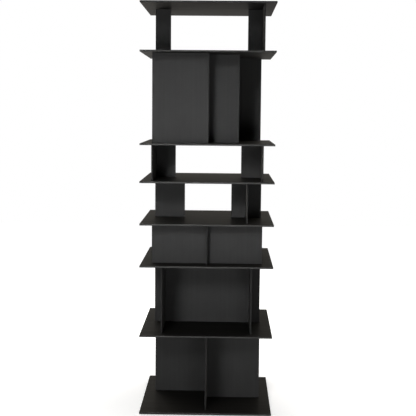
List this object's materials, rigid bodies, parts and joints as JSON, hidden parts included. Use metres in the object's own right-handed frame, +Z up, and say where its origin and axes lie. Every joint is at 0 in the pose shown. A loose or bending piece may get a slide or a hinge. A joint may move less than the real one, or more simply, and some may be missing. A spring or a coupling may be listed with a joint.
{
  "type": "book tower shelf",
  "caption": "Free-standing black book tower: square boards held apart by thin upright panels in a different layout in each bay, open on every side for books.",
  "frame": {"origin": "on the floor under the middle of the base", "axes": "+Z up, +X to the right and -Y to the front, as the picture shows the tower"},
  "size_m": [0.62, 0.62, 1.915],
  "materials": {
    "plate_board": "dyed fibreboard with a satin black lacquer",
    "panel_board": "dyed fibreboard with a satin black lacquer",
    "felt": "pressed dark grey felt"
  },
  "bodies": {
    "root": {"base_plate": "plate_board", "shelf_plate_1": "plate_board", "shelf_plate_2": "plate_board", "shelf_plate_3": "plate_board", "shelf_plate_4": "plate_board", "shelf_plate_5": "plate_board", "shelf_plate_6": "plate_board", "top_plate": "plate_board", "bay1_wall": "panel_board", "bay1_left_wing": "panel_board", "bay1_right_wing": "panel_board", "bay2_web": "panel_board", "bay2_left_flange": "panel_board", "bay2_right_flange": "panel_board", "bay3_web": "panel_board", "bay3_front_flange": "panel_board", "bay3_back_flange": "panel_board", "bay4_left_flange": "panel_board", "bay4_left_stem": "panel_board", "bay4_right_flange": "panel_board", "bay4_right_stem": "panel_board", "bay5_left_wall": "panel_board", "bay5_left_wing": "panel_board", "bay5_right_wall": "panel_board", "bay5_right_wing": "panel_board", "bay6_wall": "panel_board", "bay6_left_screen": "panel_board", "bay6_right_screen": "panel_board", "bay6_left_wing": "panel_board", "bay6_right_wing": "panel_board", "bay7_left_wall": "panel_board", "bay7_left_wing": "panel_board", "bay7_right_wall": "panel_board", "bay7_right_wing": "panel_board", "felt_glides": "felt"}
  },
  "joints": []
}
